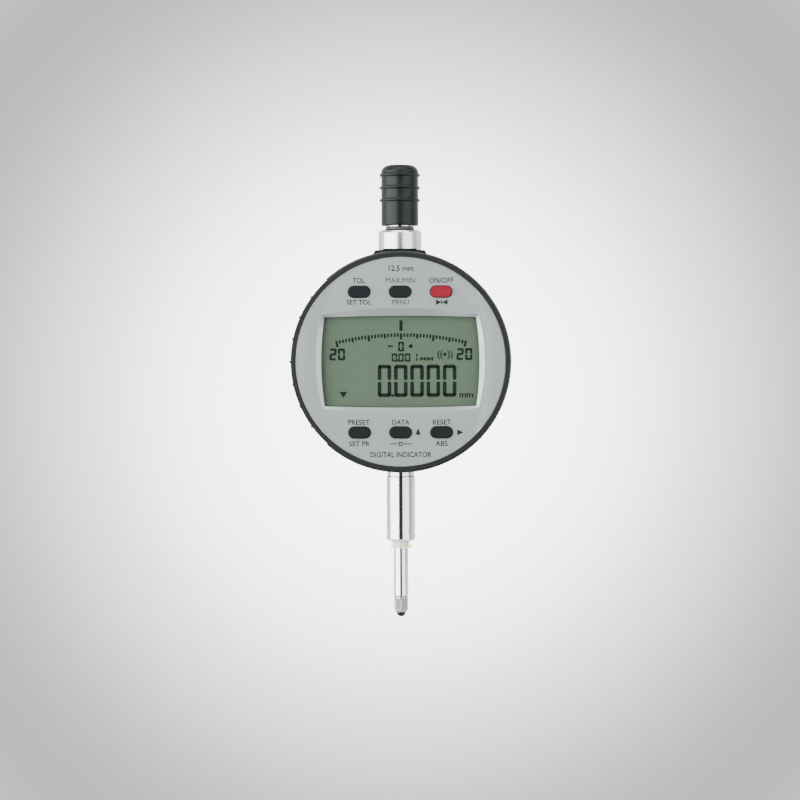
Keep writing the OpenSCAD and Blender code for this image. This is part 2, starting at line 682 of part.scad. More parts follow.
module coin_cell() color("silver") {
    y0 = tray_y - tray_t + 0.05;
    slab(y0 + 0.4, cell_t - 0.4) translate([cell_x, 0]) circle(cell_r);
    slab(y0, 0.5) translate([cell_x, 0]) circle(cell_r - 1);
}

housing();
back_cover();
cover_gasket();
cover_screws();
stem();
stem_lower_bush();
stem_upper_bush();
stem_seal();
top_sleeve();
sleeve_bush();
buffer_ring();
guide_rod();
reader_board();
reader_chips();
reader_screws();
measuring_spring();
swivel_o_ring();
spindle();
contact_point();
contact_ball();
cap_core();
lifting_cap();
carrier();
carrier_screw();
scale_bar();
display_case();
face_plate();
window_pane();
lcd_panel();
lcd_reflector();
lcd_frame();
contact_strips();
main_board();
board_parts();
radio_module();
key_switches();
battery_contacts();
board_screws();
swivel_clip();
stop_peg();
flex_lead();
key_tol();
key_max_min();
key_on_off();
key_preset();
key_data();
key_reset();
battery_drawer();
coin_cell();
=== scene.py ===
import math
import bpy
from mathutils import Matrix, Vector


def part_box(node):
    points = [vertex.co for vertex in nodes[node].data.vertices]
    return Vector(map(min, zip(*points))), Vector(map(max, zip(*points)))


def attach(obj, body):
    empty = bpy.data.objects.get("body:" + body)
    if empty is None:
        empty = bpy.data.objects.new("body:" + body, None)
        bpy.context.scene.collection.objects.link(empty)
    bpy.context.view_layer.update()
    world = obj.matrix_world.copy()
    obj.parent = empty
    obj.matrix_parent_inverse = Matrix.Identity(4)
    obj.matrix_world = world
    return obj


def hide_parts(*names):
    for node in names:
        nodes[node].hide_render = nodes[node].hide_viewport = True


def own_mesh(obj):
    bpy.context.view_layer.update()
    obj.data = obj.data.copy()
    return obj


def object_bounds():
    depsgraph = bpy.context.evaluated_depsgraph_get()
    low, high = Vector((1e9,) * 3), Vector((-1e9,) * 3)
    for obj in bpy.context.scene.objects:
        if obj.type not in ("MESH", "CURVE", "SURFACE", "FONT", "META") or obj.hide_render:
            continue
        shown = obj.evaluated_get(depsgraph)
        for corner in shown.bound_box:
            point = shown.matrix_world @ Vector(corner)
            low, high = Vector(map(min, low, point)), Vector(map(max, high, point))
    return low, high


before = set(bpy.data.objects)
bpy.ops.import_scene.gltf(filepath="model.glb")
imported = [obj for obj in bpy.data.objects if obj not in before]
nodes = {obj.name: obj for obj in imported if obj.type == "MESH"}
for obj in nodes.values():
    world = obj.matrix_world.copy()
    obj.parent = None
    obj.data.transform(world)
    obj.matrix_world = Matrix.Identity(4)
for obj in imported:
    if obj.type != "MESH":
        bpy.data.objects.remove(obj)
cad_bounds = [list(corner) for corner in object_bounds()]
mm = 0.001

# ---- Camera ----
# Looks straight along the swivel axis, level with the head's centre, from arm's length. The small
# shift leaves the head a little above the middle of the frame, and the camera leans a fifth of a degree.
case_low, case_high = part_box("display_case")
head_z = (case_low.z + case_high.z) / 2
bpy.ops.object.camera_add(
    location=(-0.1 * mm, -600 * mm, head_z), rotation=(math.radians(90), math.radians(0.2), 0))
camera = bpy.context.object
camera.data.lens = 96.4
camera.data.shift_y = -0.048
camera.data.clip_end = 20
bpy.context.scene.camera = camera

# ---- Studio ----
# A pale sweep of paper, floor and wall in one, stands far behind the indicator, which a stand outside
# the view holds by its stem. The paper glows by itself: a painted spot of light on the wall, cast by no
# lamp, fades towards its edges. Soft boxes stand left and right, the left one brighter, and one hangs above.
# Between them is dark, as is the table in front.
spot_r = 520 * mm
spot_z = head_z - 30 * mm
wall_y = 1.1
sweep_r = 0.4
floor_z = cad_bounds[0][2] - 0.6


def painted_glow_paper():
    """Paper lit by its own glow, which paints the light on it: a bright spot that fades to a dim pale grey.
    """
    material = bpy.data.materials.new("painted_glow_paper")
    material.use_nodes = True
    tree = material.node_tree
    shader = tree.nodes["Principled BSDF"]
    shader.inputs["Base Color"].default_value = (0.12, 0.12, 0.125, 1)
    shader.inputs["Roughness"].default_value = 0.95
    shader.inputs["Specular IOR Level"].default_value = 0
    shader.inputs["Emission Color"].default_value = (0.975, 0.975, 1, 1)
    coordinates = tree.nodes.new("ShaderNodeTexCoord")
    mapping = tree.nodes.new("ShaderNodeMapping")
    mapping.inputs["Location"].default_value = (0, 0, -spot_z / spot_r)
    mapping.inputs["Scale"].default_value = (1 / spot_r, 0, 1 / spot_r)
    spot = tree.nodes.new("ShaderNodeTexGradient")
    spot.gradient_type = "SPHERICAL"
    fade = tree.nodes.new("ShaderNodeValToRGB")
    fade.color_ramp.interpolation = "B_SPLINE"
    # The painted light's glow, from the rim of the spot in to its middle.
    stops = ((0.0, 0.24), (0.16, 0.06), (0.36, 0.11), (0.54, 0.33), (0.68, 0.72), (0.84, 1.0))
    for k, (place, glow) in enumerate(stops):
        stop = fade.color_ramp.elements[k] if k < 2 else fade.color_ramp.elements.new(place)
        stop.position = place
        stop.color = (glow, glow, glow, 1)
    strength = tree.nodes.new("ShaderNodeMath")
    strength.operation = "MULTIPLY"
    strength.inputs[1].default_value = 6.6
    tree.links.new(coordinates.outputs["Object"], mapping.inputs["Vector"])
    tree.links.new(mapping.outputs["Vector"], spot.inputs["Vector"])
    tree.links.new(spot.outputs["Fac"], fade.inputs["Fac"])
    tree.links.new(fade.outputs["Color"], strength.inputs[0])
    tree.links.new(strength.outputs["Value"], shader.inputs["Emission Strength"])
    return material


bpy.ops.object.select_all(action="DESELECT")
bpy.ops.mesh.primitive_plane_add(size=1, location=(0, wall_y - sweep_r - 2, floor_z))
sweep = bpy.context.object
sweep.name = "paper_sweep"
sweep.scale = (12, 4, 1)
bpy.ops.object.transform_apply(location=True, rotation=True, scale=True)
bpy.ops.object.mode_set(mode="EDIT")
bpy.ops.mesh.select_all(action="DESELECT")
bpy.ops.object.mode_set(mode="OBJECT")
for edge in sweep.data.edges:
    edge.select = all(sweep.data.vertices[v].co.y > 0 for v in edge.vertices)
bpy.ops.object.mode_set(mode="EDIT")
bpy.ops.mesh.select_mode(type="EDGE")
turns = 16
for k in range(turns):
    a, b = (math.radians(90 * (k + i) / turns) for i in (0, 1))
    rise = (0, sweep_r * (math.sin(b) - math.sin(a)), sweep_r * (math.cos(a) - math.cos(b)))
    bpy.ops.mesh.extrude_region_move(TRANSFORM_OT_translate={"value": rise})
bpy.ops.mesh.extrude_region_move(TRANSFORM_OT_translate={"value": (0, 0, 3)})
bpy.ops.object.mode_set(mode="OBJECT")
bpy.ops.object.shade_smooth()
# The sweep's paleness is painted light: the paper glows with its own spot of light.
sweep.data.materials.append(painted_glow_paper())

world = bpy.data.worlds.new("pale_room")
world.use_nodes = True
world.node_tree.nodes["Background"].inputs["Color"].default_value = (0.96, 0.97, 1, 1)
world.node_tree.nodes["Background"].inputs["Strength"].default_value = 0.7
bpy.context.scene.world = world


def soft_box(name, azimuth, elevation, distance, size, radiance):
    """A soft box that stands off to one side of the camera's line and faces the indicator."""
    around, up = math.radians(azimuth), math.radians(elevation)
    away = Vector((math.cos(up) * math.sin(around), -math.cos(up) * math.cos(around), math.sin(up)))
    turn = away.to_track_quat("Z", "Y").to_euler()
    bpy.ops.object.light_add(type="AREA", location=Vector((0, 0, head_z)) + distance * away, rotation=turn)
    light = bpy.context.object
    light.name = name
    light.data.shape = "RECTANGLE"
    light.data.size, light.data.size_y = size
    light.data.energy = radiance * math.pi * size[0] * size[1]
    light.visible_camera = False


soft_box("left_soft_box", -55, 6, 0.75, (1.17, 0.8), 6.5)
soft_box("right_soft_box", 42, 6, 0.75, (0.73, 0.8), 2.5)
soft_box("top_soft_box", 0, 62, 0.6, (0.7, 0.4), 3)

black_cloth = bpy.data.materials.new("black_cloth")
black_cloth.use_nodes = True
black_cloth.node_tree.nodes["Principled BSDF"].inputs["Base Color"].default_value = (0.01, 0.01, 0.01, 1)
black_cloth.node_tree.nodes["Principled BSDF"].inputs["Specular IOR Level"].default_value = 0
for name, place, tilt, size in (("dark_gap", (0, -0.8, head_z), 90, (0.4, 1.1, 1)),
                                ("dark_table", (0, -0.75, head_z - 0.4), 0, (1.6, 0.9, 1))):
    bpy.ops.object.select_all(action="DESELECT")
    bpy.ops.mesh.primitive_plane_add(size=1, location=place, rotation=(math.radians(tilt), 0, 0))
    card = bpy.context.object
    card.name = name
    card.scale = size
    bpy.ops.object.transform_apply(location=True, rotation=True, scale=True)
    card.data.materials.append(black_cloth)
    card.visible_camera = card.visible_shadow = card.visible_transmission = False
    card.visible_diffuse = name == "dark_table"

# ---- Rear housing and its cover ----
# A die-cast shell with a fine black lacquer, closed by a flat cover on four countersunk screws over
# a rubber gasket. It carries the stem, the top sleeve and the swivel of the display head.


def finish(name, colour, roughness, metallic=0.0, grain=(2500, 2500, 2500), bump=0.2, vary=0.12,
           rough_vary=0.06, specular=0.5, deep=20):
    """A surface whose colour, gloss and height all follow one fine grain, deep being its micrometres."""
    material = bpy.data.materials.new(name)
    material.use_nodes = True
    tree = material.node_tree
    shader = tree.nodes["Principled BSDF"]
    shader.inputs["Metallic"].default_value = metallic
    shader.inputs["Specular IOR Level"].default_value = specular
    coordinates = tree.nodes.new("ShaderNodeTexCoord")
    mapping = tree.nodes.new("ShaderNodeMapping")
    mapping.inputs["Scale"].default_value = grain
    noise = tree.nodes.new("ShaderNodeTexNoise")
    noise.inputs["Scale"].default_value = 1
    noise.inputs["Detail"].default_value = 6
    tint = tree.nodes.new("ShaderNodeMix")
    tint.data_type = "RGBA"
    tint.inputs["A"].default_value = (*[c * (1 - vary) for c in colour], 1)
    tint.inputs["B"].default_value = (*[min(1, c * (1 + vary)) for c in colour], 1)
    gloss = tree.nodes.new("ShaderNodeMapRange")
    gloss.inputs["To Min"].default_value = max(0.02, roughness - rough_vary)
    gloss.inputs["To Max"].default_value = min(1, roughness + rough_vary)
    relief = tree.nodes.new("ShaderNodeBump")
    relief.inputs["Strength"].default_value = bump
    relief.inputs["Distance"].default_value = deep * 0.000001
    tree.links.new(coordinates.outputs["Object"], mapping.inputs["Vector"])
    tree.links.new(mapping.outputs["Vector"], noise.inputs["Vector"])
    tree.links.new(noise.outputs["Fac"], tint.inputs["Factor"])
    tree.links.new(tint.outputs["Result"], shader.inputs["Base Color"])
    tree.links.new(noise.outputs["Fac"], gloss.inputs["Value"])
    tree.links.new(gloss.outputs["Result"], shader.inputs["Roughness"])
    tree.links.new(noise.outputs["Fac"], relief.inputs["Height"])
    tree.links.new(relief.outputs["Normal"], shader.inputs["Normal"])
    return material


def dress(material, *names):
    """Gives CAD nodes that keep their shape a finish of their own."""
    for name in names:
        nodes[name].data.materials.clear()
        nodes[name].data.materials.append(material)


dress(finish("black_lacquer", (0.004, 0.006, 0.006), 0.36, bump=0.3, specular=0.2), "housing", "back_cover")
fine_steel = finish("fine_steel", (0.55, 0.55, 0.56), 0.28, 1, (4000, 4000, 4000), 0.1)
dress(fine_steel, "cover_screws", "reader_screws", "board_screws", "carrier_screw", "stop_peg")
dress(finish("gasket_rubber", (0.02, 0.02, 0.02), 0.7), "cover_gasket", "swivel_o_ring")

# ---- Stem, top sleeve and their bushes ----
# The clamping stem is ground bright and the top sleeve is turned and lightly brushed, both of
# stainless steel. Bronze bushes pressed into them guide the spindle, and a clear yellowish wiper
# seals the stem's end. A grey rubber ring lies on the sleeve as a buffer.
ring_lay = (150, 150, 16000)
dress(finish("ground_steel", (0.80, 0.80, 0.80), 0.12, 1, ring_lay, 0.03, 0.03, 0.03), "stem")
dress(finish("brushed_steel", (0.80, 0.80, 0.805), 0.27, 1, ring_lay, 0.06, 0.03, 0.05), "top_sleeve")
dress(finish("bored_bronze", (0.42, 0.26, 0.10), 0.35, 1, ring_lay, 0.15),
      "stem_lower_bush", "stem_upper_bush", "sleeve_bush")
wiper_plastic = finish(
    "wiper_plastic", (0.95, 0.95, 0.66), 0.2, grain=(1200, 1200, 1200), bump=0.1, vary=0.04)
wiper_plastic.node_tree.nodes["Principled BSDF"].inputs["Alpha"].default_value = 0.5
dress(wiper_plastic, "stem_seal")
dress(finish("buffer_rubber", (0.05, 0.055, 0.055), 0.5), "buffer_ring")

# ---- Measuring system ----
# A carrier of cast alloy, clamped to the spindle, slides on a ground guide rod and carries the glass
# scale past the reader board. A coil spring above it pushes the spindle out.
dress(finish("cast_alloy", (0.5, 0.51, 0.52), 0.4, 1, (1500, 1500, 1500), 0.25), "carrier")
dress(finish("rod_steel", (0.74, 0.74, 0.75), 0.12, 1, ring_lay, 0.05), "guide_rod")
dress(finish("spring_wire", (0.32, 0.32, 0.33), 0.3, 1, (3000, 3000, 3000), 0.1), "measuring_spring")
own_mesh(nodes["measuring_spring"])
dress(finish("scale_glass", (0.35, 0.40, 0.44), 0.12, 0, (300, 300, 12000), 0.05), "scale_bar")
dress(finish("board_lacquer", (0.01, 0.09, 0.04), 0.3, grain=(900, 900, 900), bump=0.1),
      "reader_board", "main_board")
dress(finish("chip_moulding", (0.015, 0.015, 0.016), 0.6, grain=(5000, 5000, 5000), bump=0.4),
      "reader_chips", "board_parts", "key_switches")

# ---- Spindle and contact point ----
# A ground and polished steel spindle. The contact point screws into its end: a short barrel with a
# diamond knurl for the fingers, a taper below it, and a hard ball set into its tip.
dress(finish("polished_steel", (0.80, 0.80, 0.80), 0.09, 1, ring_lay, 0.03, 0.03, 0.03), "spindle")
dress(finish("hard_metal", (0.045, 0.045, 0.05), 0.15, 1, (3000, 3000, 3000), 0.02), "contact_ball")


def turned(name, profile, steps):
    """A solid of revolution about the spindle's axis. The profile lists its (radius, height) points."""
    bpy.ops.object.select_all(action="DESELECT")
    bpy.ops.mesh.primitive_plane_add(size=mm, location=(0, 0, 0))
    piece = bpy.context.object
    piece.name = name
    bpy.ops.object.mode_set(mode="EDIT")
    bpy.ops.mesh.select_mode(type="VERT")
    bpy.ops.mesh.select_all(action="SELECT")
    bpy.ops.mesh.merge(type="CENTER")
    bpy.ops.transform.translate(value=(profile[0][0], 0, profile[0][1]))
    for (r, z), (next_r, next_z) in zip(profile, profile[1:]):
        bpy.ops.mesh.extrude_region_move(TRANSFORM_OT_translate={"value": (next_r - r, 0, next_z - z)})
    bpy.ops.mesh.select_all(action="SELECT")
    bpy.ops.mesh.spin(steps=steps, angle=math.tau, center=(0, 0, 0), axis=(0, 0, 1))
    bpy.ops.object.mode_set(mode="OBJECT")
    mend(piece)
    return piece


def mend(piece):
    """Merges doubled points and turns every face outwards."""
    bpy.ops.object.select_all(action="DESELECT")
    bpy.context.view_layer.objects.active = piece
    piece.select_set(True)
    bpy.ops.object.mode_set(mode="EDIT")
    bpy.ops.mesh.select_all(action="SELECT")
    bpy.ops.mesh.remove_doubles(threshold=0.000001)
    bpy.ops.mesh.normals_make_consistent(inside=False)
    bpy.ops.object.mode_set(mode="OBJECT")


def smooth(piece, degrees):
    """Shades the piece smooth, with a crease where its faces meet at more than these degrees."""
    bpy.ops.object.select_all(action="DESELECT")
    bpy.context.view_layer.objects.active = piece
    piece.select_set(True)
    bpy.ops.object.shade_smooth_by_angle(angle=math.radians(degrees))


tip_low, tip_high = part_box("contact_point")
tip_r = tip_high.x
ball_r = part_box("contact_ball")[1].x
thread_r = 1.22 * mm
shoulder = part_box("spindle")[0].z
tip_end = tip_low.z
knurl_r = tip_r - 0.02 * mm
knurl_top, knurl_bottom = shoulder - 0.7 * mm, tip_end + 0.75 * mm
knurl_rows, knurl_columns = 8, 30
row_h = (knurl_top - knurl_bottom) / knurl_rows
profile = [(0, tip_high.z), (thread_r - 0.2 * mm, tip_high.z), (thread_r, tip_high.z - 0.2 * mm)]
profile += [(thread_r, shoulder), (tip_r - 0.35 * mm, shoulder), (tip_r - 0.1 * mm, shoulder - 0.12 * mm)]
profile += [(tip_r - 0.1 * mm, shoulder - 0.42 * mm), (tip_r - 0.22 * mm, shoulder - 0.56 * mm)]
profile += [(knurl_r, knurl_top - k * row_h) for k in range(knurl_rows + 1)]
profile += [(tip_r - 0.2 * mm, knurl_bottom - 0.2 * mm), (tip_r - 0.42 * mm, tip_end + 0.12 * mm)]
profile += [(ball_r + 0.12 * mm, tip_end), (ball_r + 0.01 * mm, tip_end), (0, tip_end + 1.3 * mm)]
contact_point = turned("knurled_point", profile, knurl_columns)
for vertex in contact_point.data.vertices:
    x, y, z = vertex.co
    row = (knurl_top - z) / row_h
    column = math.atan2(y, x) / math.tau * knurl_columns
    on_knurl = abs(math.hypot(x, y) - knurl_r) < 0.01 * mm and -0.5 < row < knurl_rows + 0.5
    vertex.select = on_knurl and (round(row) + round(column)) % 2 == 1
for part in (*contact_point.data.edges, *contact_point.data.polygons):
    part.select = False
bpy.ops.object.mode_set(mode="EDIT")
bpy.ops.transform.resize(value=(0.9, 0.9, 1), center_override=(0, 0, 0))
bpy.ops.mesh.select_all(action="SELECT")
bpy.ops.mesh.quads_convert_to_tris(quad_method="SHORTEST_DIAGONAL")
bpy.ops.object.mode_set(mode="OBJECT")
smooth(contact_point, 13)
contact_point.data.materials.clear()
contact_point.data.materials.append(
    finish("knurled_steel", (0.42, 0.415, 0.38), 0.2, 1, (3000, 3000, 3000), 0.1, 0.1))
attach(contact_point, "spindle")
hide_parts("contact_point")

# ---- Lifting cap ----
# A moulded rubber cap with three rounded grip rings and a domed top, pressed over a bright steel
# core that is screwed on the spindle's upper end.
cap_low, cap_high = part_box("lifting_cap")
core_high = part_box("cap_core")[1]
dress(finish("core_steel", (0.78, 0.78, 0.78), 0.12, 1, ring_lay, 0.04), "cap_core")
core_gap = 0.02 * mm
core_r = core_high.x + core_gap
core_top_r = core_r - 0.8 * mm
core_top = core_high.z + core_gap
core_neck = cap_low.z + 6 * mm + core_gap
core_taper = 0.4 * mm
ring_count = 3
ring_pitch = 3.5 * mm
lowest_ring = 7.15 * mm
ring_out = 0.45 * mm
ring_steps = 8
cap_r = cap_high.x - ring_out
cap_top = cap_high.z
foot_r = 0.4 * mm
dome_r = 2.2 * mm


def grip_ring(z):
    """One rounded ring, from below upwards, with a hollow fillet where it meets the cap's side."""
    half = 0.42 * mm
    side = [(cap_r - 0.06 * mm, z - half - 0.3 * mm), (cap_r + 0.03 * mm, z - half)]
    crest = [(cap_r + ring_out * math.sin(math.pi * k / ring_steps) ** 0.7,
              z - half * math.cos(math.pi * k / ring_steps)) for k in range(1, ring_steps)]
    return side + crest + [(cap_r + 0.03 * mm, z + half), (cap_r - 0.06 * mm, z + half + 0.3 * mm)]


profile = [(core_r, cap_low.z), (cap_r - 0.45 * mm, cap_low.z)]
profile += [(cap_r - 0.45 * mm + foot_r * math.sin(a), cap_low.z + foot_r * (1 - math.cos(a)))
            for a in (math.radians(30 * k) for k in range(1, 4))]
for k in range(ring_count):
    profile += grip_ring(cap_low.z + lowest_ring + k * ring_pitch)
profile += [(cap_r - dome_r + dome_r * math.cos(a), cap_top - dome_r + dome_r * math.sin(a))
            for a in (math.radians(10 * k) for k in range(10))]
profile += [(1.4 * mm, cap_top), (1.15 * mm, cap_top - 0.12 * mm), (0, cap_top - 0.15 * mm), (0, core_top)]
profile += [(core_top_r, core_top), (core_top_r, core_neck + core_taper), (core_r, core_neck)]
lifting_cap = turned("rubber_cap", profile + profile[:1], 96)
smooth(lifting_cap, 50)
lifting_cap.data.materials.clear()
lifting_cap.data.materials.append(
    finish("cap_rubber", (0.005, 0.0085, 0.0085), 0.34, grain=(3200, 3200, 3200), bump=0.35, specular=0.22))
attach(lifting_cap, "spindle")
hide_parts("lifting_cap")

# ---- Display case and swivel ----
# The head's case is moulded in black plastic with a fine spark-eroded texture. Its hub turns in the
# housing, where a spring clip holds it and a peg stops it, and a flat lead winds up inside.
dress(finish("moulded_black", (0.005, 0.0065, 0.0065), 0.36, bump=0.3, specular=0.4), "display_case")
dress(finish("spring_steel", (0.42, 0.42, 0.44), 0.25, 1, (4000, 4000, 4000), 0.1), "swivel_clip")
dress(finish("amber_film", (0.35, 0.13, 0.02), 0.3, grain=(800, 800, 800), bump=0.1), "flex_lead")

# ---- Electronics in the head ----
# Behind the face lie the printed board with its key switches and radio module, the white frame that
# holds the display against its contact strips, and the battery's gold-plated contacts.
dress(finish("tinned_sheet", (0.6, 0.6, 0.58), 0.3, 1, (700, 700, 700), 0.15), "radio_module")
dress(finish("reflector_foil", (0.7, 0.72, 0.7), 0.5, 0.4, (2000, 2000, 2000), 0.1), "lcd_reflector")
dress(finish("white_moulding", (0.62, 0.62, 0.58), 0.5, grain=(1500, 1500, 1500)), "lcd_frame")
dress(finish("strip_rubber", (0.16, 0.13, 0.19), 0.7, grain=(9000, 400, 400), bump=0.3), "contact_strips")
dress(finish("gold_plate", (0.62, 0.45, 0.18), 0.25, 1, (1200, 1200, 1200), 0.1), "battery_contacts")

# ---- Battery drawer and coin cell ----
# The drawer slides into the case from the left. Its moulded front is part of the rim, with seven
# ribs for the thumb, and its tray holds a nickel-plated coin cell.
dress(finish("drawer_black", (0.007, 0.009, 0.009), 0.4, bump=0.35, specular=0.4), "battery_drawer")
dress(finish("nickel_plate", (0.62, 0.61, 0.58), 0.22, 1, (500, 500, 500), 0.05), "coin_cell")

# ---- Face plate ----
# A silver plate of satin-anodised aluminium, glued in the case. Its middle band lies a little lower
# than the two side wings, and a bevelled frame leads down to the window.
plate_low, plate_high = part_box("face_plate")
plate_r = plate_high.x
face_y = plate_low.y
plate_back_y = plate_high.y
band_sink = 0.15 * mm
frame_sink = 0.4 * mm
frame_top_sink = 0.5 * mm
frame_w = 0.55 * mm
frame_bow = Vector((0.9, 1.3)) * mm
window_half = Vector((20.65, 12.1)) * mm
window_bow = Vector((0.9, 0.4)) * mm
wing_x = 23.5 * mm
wing_bow = 3 * mm
wing_half = 19.5 * mm
wing_slope = 0.9 * mm


def solid(name, rings):
    """A closed solid bridged through outlines of the same number of points, its two ends closed."""
    count = len(rings[0])
    bpy.ops.object.select_all(action="DESELECT")
    bpy.ops.mesh.primitive_circle_add(vertices=count, radius=mm)
    piece = bpy.context.object
    piece.name = name
    bpy.ops.object.mode_set(mode="EDIT")
    for _ in rings[1:]:
        bpy.ops.mesh.primitive_circle_add(vertices=count, radius=mm)
    bpy.ops.object.mode_set(mode="OBJECT")
    for vertex, point in zip(piece.data.vertices, [p for ring in rings for p in ring]):
        vertex.co = point
    bpy.ops.object.mode_set(mode="EDIT")
    bpy.ops.mesh.select_all(action="SELECT")
    bpy.ops.mesh.bridge_edge_loops()
    for first in (0, len(rings) * count - count):
        bpy.ops.mesh.select_all(action="DESELECT")
        bpy.ops.object.mode_set(mode="OBJECT")
        for k in range(first, first + count):
            piece.data.vertices[k].select = True
        bpy.ops.object.mode_set(mode="EDIT")
        bpy.ops.mesh.select_mode(type="VERT")
        bpy.ops.mesh.edge_face_add()
    bpy.ops.object.mode_set(mode="OBJECT")
    mend(piece)
    return piece


def cut_away(piece, cutter):
    """Takes the cutter's shape out of the piece."""
    bpy.ops.object.select_all(action="DESELECT")
    bpy.context.view_layer.objects.active = piece
    piece.select_set(True)
    modifier = piece.modifiers.new("cut", "BOOLEAN")
    modifier.operation = "DIFFERENCE"
    modifier.solver = "EXACT"
    modifier.object = cutter
    bpy.ops.object.modifier_apply(modifier=modifier.name)
    bpy.data.objects.remove(cutter)


def window_ring(grow, y, bow=window_bow, top_sink=0.0, per_side=32):
    """The window's outline, four bowed sides, moved out by grow, at depth y and deeper towards its top."""
    half = window_half + Vector((grow, grow))
    bend = [(half.y ** 2 + bow.x ** 2) / (2 * bow.x), (half.x ** 2 + bow.y ** 2) / (2 * bow.y)]
    steps = [2 * k / per_side - 1 for k in range(per_side)]
    side = [(half.x + bow.x - bend[0] + math.sqrt(bend[0] ** 2 - (t * half.y) ** 2), t * half.y)
            for t in steps]
    top = [(-t * half.x, half.y + bow.y - bend[1] + math.sqrt(bend[1] ** 2 - (t * half.x) ** 2))
           for t in steps]
    ring = side + top + [(-x, -z) for x, z in side + top]
    return [(x, y + top_sink * max(0, z / half.y) ** 2, head_z + z) for x, z in ring]


def band_ring(grow, y, steps=48):
    """The outline of the middle band, bowed at both sides and running out past the plate."""
    radius = (wing_half ** 2 + wing_bow ** 2) / (2 * wing_bow)
    reach = plate_r + mm
    zs = [reach * (2 * k / steps - 1) for k in range(steps + 1)]
    right = [(wing_x + grow - radius + math.sqrt(radius ** 2 - z ** 2), z) for z in zs]
    return [(x, y, head_z + z) for x, z in right + [(-x, -z) for x, z in right]]


def bar_ring(x, z, length, height, y, half_steps=16):
    """The outline of a bar with round ends."""
    ring = []
    for side in (1, -1):
        for k in range(half_steps + 1):
            angle = math.radians(180 * k / half_steps - 90)
            u = (length - height) / 2 + height / 2 * math.cos(angle)
            ring.append((x + side * u, y, z + side * height / 2 * math.sin(angle)))
    return ring


bpy.ops.object.select_all(action="DESELECT")
bpy.ops.mesh.primitive_cylinder_add(
    vertices=256, radius=plate_r, depth=plate_back_y - face_y,
    location=(0, (face_y + plate_back_y) / 2, head_z), rotation=(math.radians(90), 0, 0))
face_plate = bpy.context.object
face_plate.name = "silver_face"
bpy.ops.object.transform_apply(location=True, rotation=True, scale=True)
band_y = face_y + band_sink
cut_away(face_plate, solid("band_cutter", [
    band_ring(wing_slope * (1 + mm / band_sink), face_y - mm), band_ring(0, band_y)]))
rise = 0.1 * mm / frame_sink
cut_away(face_plate, solid("window_cutter", [
    window_ring(frame_w * (1 + rise), band_y - 0.1 * mm, window_bow + frame_bow * (1 + rise)),
    window_ring(0, band_y + frame_sink, top_sink=frame_top_sink), window_ring(0, plate_back_y + mm)]))

key_names = ["key_tol", "key_max_min", "key_on_off", "key_preset", "key_data", "key_reset"]
key_size = Vector((5.85, 3.0)) * mm
key_room = 0.15 * mm
key_lead = 0.1 * mm
for name in key_names:
    low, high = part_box(name)
    place = (low + high) / 2
    hole = key_size + 2 * Vector((key_room, key_room))
    flare = hole + 2 * Vector((key_lead + mm, key_lead + mm))
    cut_away(face_plate, solid(name + "_cutter", [
        bar_ring(place.x, place.z, *flare, band_y - mm),
        bar_ring(place.x, place.z, *hole, band_y + key_lead),
        bar_ring(place.x, place.z, *hole, plate_back_y + mm)]))

face_plate.data.materials.clear()
face_plate.data.materials.append(
    finish("satin_anodised", (0.33, 0.365, 0.355), 0.36, 0.55, (5000, 5000, 5000), 0.35, 0.05))
smooth(face_plate, 12)
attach(face_plate, "display")
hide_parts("face_plate")

# ---- Keys ----
# Six moulded rubber keys with round ends. Each has a soft shoulder round a shallow dished top, and a
# flange behind the face plate that keeps it in. The on/off key is red.
flange_w = 0.7 * mm
plunger_r = 1.2 * mm


def make_key(name, material):
    """One moulding, from the plunger that meets the switch behind it out to its dished top."""
    low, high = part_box(name)
    place = (low + high) / 2
    front = low.y
    flange_y = plate_back_y + 0.1 * mm
    flange_back = flange_y + 0.5 * mm
    wide = key_size + 2 * Vector((flange_w, flange_w))
    round_foot = (2 * plunger_r + 0.02 * mm, 2 * plunger_r)
    rings = [bar_ring(place.x, place.z, *outline, y) for outline, y in
             ((round_foot, high.y), (round_foot, flange_back), (wide, flange_back), (wide, flange_y),
              (key_size, flange_y))]
    shoulder = 0.32 * mm
    steps = [(shoulder * (1 - math.cos(a)), shoulder * (1 - math.sin(a)))
             for a in (math.radians(15 * k) for k in range(7))]
    steps += [(inset * mm, depth * mm) for inset, depth in
              ((0.4, 0.0), (0.48, 0.02), (0.58, 0.07), (0.72, 0.10), (0.95, 0.12))]
    for inset, depth in steps:
        cap = key_size - 2 * Vector((inset, inset))
        rings.append(bar_ring(place.x, place.z, *cap, front + depth))
    key = solid(name + "_cap", rings)
    key.data.materials.clear()
    key.data.materials.append(material)
    smooth(key, 40)
    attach(key, name)
    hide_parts(name)


key_grain = (4000, 4000, 4000)
dark_key_rubber = finish("dark_key_rubber", (0.006, 0.009, 0.009), 0.36, grain=key_grain, specular=0.2)
red_key_rubber = finish("red_key_rubber", (0.19, 0.006, 0.018), 0.36, grain=key_grain, specular=0.25)
for name in key_names:
    if name == "key_on_off":
        make_key(name, red_key_rubber)
    else:
        make_key(name, dark_key_rubber)

# ---- Window pane ----
# A clear pane glued behind the window, almost invisible from the front but for a faint gloss.
pane_glass = finish("pane_glass", (0.02, 0.025, 0.02), 0.05, grain=(120, 120, 120), bump=0, rough_vary=0.02)
pane_glass.node_tree.nodes["Principled BSDF"].inputs["Alpha"].default_value = 0.05
dress(pane_glass, "window_pane")

# ---- Liquid-crystal panel ----
# Grey-green polariser glass. Its dark segments lie just behind the front surface: a pointer over an
# arc of ticks, five large figures, and the small signs between them.
dress(finish("polariser", (0.077, 0.114, 0.077), 0.4, grain=(60, 60, 60), bump=0.02, vary=0.04, specular=0.2),
      "lcd_panel")
ink_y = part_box("lcd_panel")[0].y - 0.02 * mm
ink_t = 0.015 * mm


